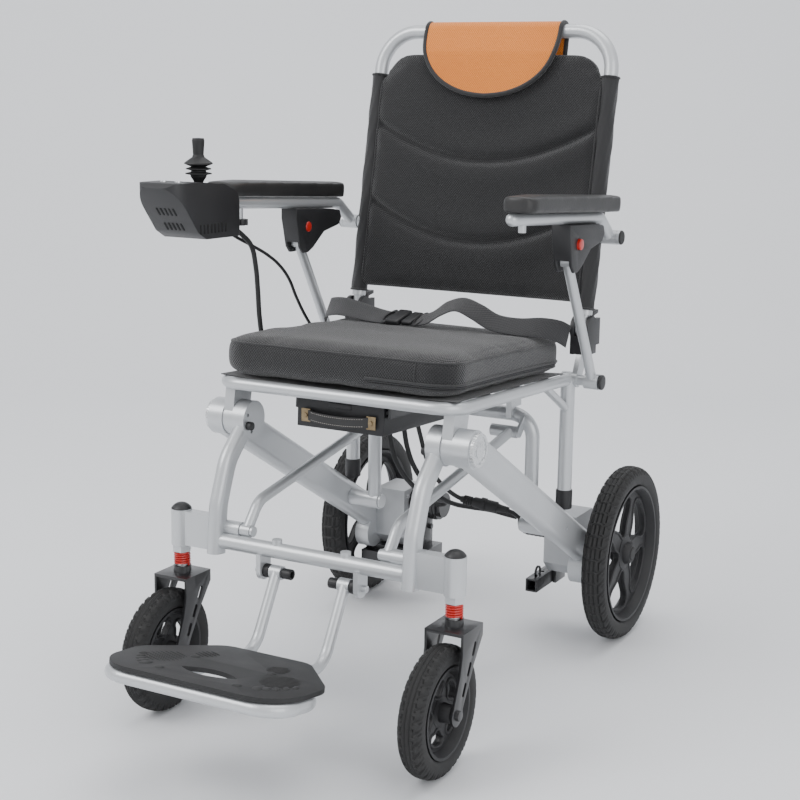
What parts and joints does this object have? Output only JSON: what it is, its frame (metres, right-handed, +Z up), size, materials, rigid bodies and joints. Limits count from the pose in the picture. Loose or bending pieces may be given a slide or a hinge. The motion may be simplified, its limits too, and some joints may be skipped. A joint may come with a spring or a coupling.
{
  "type": "power wheelchair",
  "caption": "Folding power wheelchair with sprung casters, geared rear wheels, hinged backrest, linked armrests, joystick controller, folding footrest and slide-out battery.",
  "frame": {"origin": "on the floor at the centre of the chair's footprint", "axes": "+X to the right in the front view, which is the sitter's left, +Y to the back of the chair, +Z up"},
  "size_m": [0.594, 1.1458, 1.1109],
  "materials": {
    "silver_frame": "satin silver powder coat",
    "cap_metal": "machined",
    "steel": "plain",
    "black_metal": "satin black",
    "black_plastic": "fine texture",
    "rubber": "matt",
    "tyre": "matt",
    "red_spring": "gloss red",
    "red_plastic": "gloss",
    "black_fabric": "woven mesh",
    "orange_fabric": "woven mesh",
    "pad_leather": "soft grain"
  },
  "bodies": {
    "rear_frame": {"beams": "silver_frame", "hub_caps": "cap_metal", "gearboxes": "silver_frame", "motors": "black_metal", "hitch_brackets": "black_metal", "motor_cables": "rubber"},
    "wheel_rear_left": {"tyre_rear_left": "tyre", "rim_rear_left": "black_plastic"},
    "wheel_rear_right": {"tyre_rear_right": "tyre", "rim_rear_right": "black_plastic"},
    "front_frame": {"front_frame": "silver_frame", "caster_caps": "black_plastic", "spring_left": "red_spring", "spring_right": "red_spring"},
    "caster_stem_left": {"stem_left": "steel"},
    "caster_stem_right": {"stem_right": "steel"},
    "caster_fork_left": {"fork_left": "black_metal"},
    "caster_fork_right": {"fork_right": "black_metal"},
    "wheel_front_left": {"tyre_front_left": "tyre", "rim_front_left": "black_plastic"},
    "wheel_front_right": {"tyre_front_right": "tyre", "rim_front_right": "black_plastic"},
    "footrest": {"footrest_frame": "silver_frame", "footplate": "rubber"},
    "support_frame": {"support_frame": "silver_frame"},
    "strut_left": {"strut_left": "silver_frame"},
    "strut_right": {"strut_right": "silver_frame"},
    "seat": {"seat_frame": "silver_frame", "stay_tips": "black_plastic", "seat_sling": "black_fabric", "seat_cushion": "black_fabric", "battery_tray": "black_metal", "hinge_housings": "black_plastic", "lap_belt": "black_fabric", "joystick_cable": "rubber"},
    "battery": {"battery": "black_plastic", "battery_handle": "pad_leather"},
    "backrest": {"back_tube": "silver_frame", "back_panel": "black_fabric", "headrest_flap": "orange_fabric"},
    "arm_left": {"arm_left": "silver_frame", "arm_pad_left": "pad_leather", "arm_bracket_left": "black_plastic", "controller": "black_plastic"},
    "arm_right": {"arm_right": "silver_frame", "arm_pad_right": "pad_leather", "arm_bracket_right": "black_plastic"},
    "arm_post_left": {"arm_post_left": "silver_frame"},
    "arm_post_right": {"arm_post_right": "silver_frame"},
    "arm_button_left": {"arm_button_left": "red_plastic"},
    "arm_button_right": {"arm_button_right": "red_plastic"},
    "joystick_gimbal": {"joystick_gimbal": "black_plastic"},
    "joystick": {"joystick": "rubber"},
    "power_button": {"power_button": "cap_metal"},
    "horn_button": {"horn_button": "cap_metal"},
    "clamp_knob": {"clamp_knob": "black_plastic"},
    "hinge_lever_left": {"hinge_lever_left": "black_plastic"},
    "hinge_lever_right": {"hinge_lever_right": "black_plastic"},
    "plunger_left": {"plunger_left": "black_plastic"},
    "plunger_right": {"plunger_right": "black_plastic"}
  },
  "joints": [
    {"name": "leg_fold", "type": "hinge", "parent": "rear_frame", "child": "front_frame", "pos_m": [0, -0.148, 0.464], "axis": [1, 0, 0], "range_deg": [0, 35]},
    {"name": "support_fold", "type": "hinge", "parent": "rear_frame", "child": "support_frame", "pos_m": [0, 0.24002, 0.23907], "axis": [1, 0, 0], "range_deg": [-36, 0]},
    {"name": "strut_pivot_left", "type": "hinge", "parent": "front_frame", "child": "strut_left", "pos_m": [-0.128, -0.223, 0.302], "axis": [1, 0, 0], "range_deg": [-36, 0]},
    {"name": "caster_spring_left", "type": "slide", "parent": "front_frame", "child": "caster_stem_left", "axis": [0, 0, 1], "range_m": [0, 0.012], "stiffness_N_per_m": 8000, "springref_m": -0.02, "deforming": ["spring_left"]},
    {"name": "caster_swivel_left", "type": "hinge", "parent": "caster_stem_left", "child": "caster_fork_left", "pos_m": [-0.247, -0.2345, 0.25], "axis": [0, 0, 1], "continuous": true},
    {"name": "front_wheel_spin_left", "type": "hinge", "parent": "caster_fork_left", "child": "wheel_front_left", "pos_m": [-0.247, -0.2815, 0.1], "axis": [1, 0, 0], "continuous": true},
    {"name": "rear_wheel_spin_left", "type": "hinge", "parent": "rear_frame", "child": "wheel_rear_left", "pos_m": [-0.2685, 0.4155, 0.16], "axis": [1, 0, 0], "continuous": true},
    {"name": "strut_pivot_right", "type": "hinge", "parent": "front_frame", "child": "strut_right", "pos_m": [0.128, -0.223, 0.302], "axis": [1, 0, 0], "range_deg": [-36, 0]},
    {"name": "caster_spring_right", "type": "slide", "parent": "front_frame", "child": "caster_stem_right", "axis": [0, 0, 1], "range_m": [0, 0.012], "stiffness_N_per_m": 8000, "springref_m": -0.02, "deforming": ["spring_right"]},
    {"name": "caster_swivel_right", "type": "hinge", "parent": "caster_stem_right", "child": "caster_fork_right", "pos_m": [0.247, -0.2345, 0.25], "axis": [0, 0, 1], "continuous": true},
    {"name": "front_wheel_spin_right", "type": "hinge", "parent": "caster_fork_right", "child": "wheel_front_right", "pos_m": [0.247, -0.2815, 0.1], "axis": [1, 0, 0], "continuous": true},
    {"name": "rear_wheel_spin_right", "type": "hinge", "parent": "rear_frame", "child": "wheel_rear_right", "pos_m": [0.2685, 0.4155, 0.16], "axis": [1, 0, 0], "continuous": true},
    {"name": "footrest_fold", "type": "hinge", "parent": "front_frame", "child": "footrest", "pos_m": [0, -0.2365, 0.248], "axis": [1, 0, 0], "range_deg": [-80, 0]},
    {"name": "seat_lift", "type": "hinge", "parent": "rear_frame", "child": "seat", "pos_m": [0, -0.148, 0.464], "axis": [1, 0, 0], "range_deg": [0, 30], "deforming": ["motor_cables"]},
    {"name": "battery_slide", "type": "slide", "parent": "seat", "child": "battery", "axis": [0, -0.9986, 0.0523], "range_m": [0, 0.14]},
    {"name": "back_fold", "type": "hinge", "parent": "seat", "child": "backrest", "pos_m": [0, 0.288, 0.58994], "axis": [1, 0, 0], "range_deg": [0, 70], "deforming": ["joystick_cable"]},
    {"name": "arm_pivot_left", "type": "hinge", "parent": "backrest", "child": "arm_left", "pos_m": [-0.256, 0.31771, 0.74716], "axis": [1, 0, 0], "range_deg": [-36, 0]},
    {"name": "arm_post_pivot_left", "type": "hinge", "parent": "seat", "child": "arm_post_left", "pos_m": [-0.256, 0.262, 0.50394], "axis": [1, 0, 0], "range_deg": [0, 51]},
    {"name": "arm_button_press_left", "type": "slide", "parent": "arm_left", "child": "arm_button_left", "axis": [1, 0, 0], "range_m": [0, 0.004], "stiffness_N_per_m": 600, "springref_m": -0.004},
    {"name": "hinge_lever_turn_left", "type": "hinge", "parent": "seat", "child": "hinge_lever_left", "pos_m": [-0.226, 0.313, 0.59694], "axis": [1, 0, 0], "range_deg": [0, 18], "stiffness_Nm_per_rad": 0.3, "springref_deg": -17.19},
    {"name": "plunger_pull_left", "type": "slide", "parent": "front_frame", "child": "plunger_left", "axis": [1, 0, 0], "range_m": [0, 0.009], "stiffness_N_per_m": 800, "springref_m": -0.006},
    {"name": "arm_pivot_right", "type": "hinge", "parent": "backrest", "child": "arm_right", "pos_m": [0.256, 0.31771, 0.74716], "axis": [1, 0, 0], "range_deg": [-36, 0]},
    {"name": "arm_post_pivot_right", "type": "hinge", "parent": "seat", "child": "arm_post_right", "pos_m": [0.256, 0.262, 0.50394], "axis": [1, 0, 0], "range_deg": [0, 51]},
    {"name": "arm_button_press_right", "type": "slide", "parent": "arm_right", "child": "arm_button_right", "axis": [-1, 0, 0], "range_m": [0, 0.004], "stiffness_N_per_m": 600, "springref_m": -0.004},
    {"name": "hinge_lever_turn_right", "type": "hinge", "parent": "seat", "child": "hinge_lever_right", "pos_m": [0.226, 0.313, 0.59694], "axis": [1, 0, 0], "range_deg": [0, 18], "stiffness_Nm_per_rad": 0.3, "springref_deg": -17.19},
    {"name": "plunger_pull_right", "type": "slide", "parent": "front_frame", "child": "plunger_right", "axis": [-1, 0, 0], "range_m": [0, 0.009], "stiffness_N_per_m": 800, "springref_m": -0.006},
    {"name": "joystick_pitch", "type": "hinge", "parent": "arm_left", "child": "joystick_gimbal", "pos_m": [-0.257, -0.163, 0.823], "axis": [1, 0, 0], "range_deg": [-13, 13], "stiffness_Nm_per_rad": 0.3},
    {"name": "joystick_roll", "type": "hinge", "parent": "joystick_gimbal", "child": "joystick", "pos_m": [-0.257, -0.163, 0.823], "axis": [0, 1, 0], "range_deg": [-13, 13], "stiffness_Nm_per_rad": 0.3},
    {"name": "power_button_press", "type": "slide", "parent": "arm_left", "child": "power_button", "axis": [0, 0, -1], "range_m": [0, 0.0015], "stiffness_N_per_m": 400, "springref_m": -0.003},
    {"name": "horn_button_press", "type": "slide", "parent": "arm_left", "child": "horn_button", "axis": [0, 0, -1], "range_m": [0, 0.0015], "stiffness_N_per_m": 400, "springref_m": -0.003},
    {"name": "clamp_knob_turn", "type": "hinge", "parent": "arm_left", "child": "clamp_knob", "pos_m": [-0.256, -0.0518, 0.7663], "axis": [0, 0, 1], "continuous": true}
  ],
  "couplings": [
    {"joint": "support_fold", "follows": "leg_fold", "ratio": -0.9647},
    {"joint": "strut_pivot_left", "follows": "leg_fold", "ratio": -0.9599},
    {"joint": "arm_pivot_left", "follows": "back_fold", "ratio": -0.486},
    {"joint": "arm_post_pivot_left", "follows": "back_fold", "ratio": 0.7007},
    {"joint": "strut_pivot_right", "follows": "leg_fold", "ratio": -0.9599},
    {"joint": "arm_pivot_right", "follows": "back_fold", "ratio": -0.486},
    {"joint": "arm_post_pivot_right", "follows": "back_fold", "ratio": 0.7007}
  ]
}
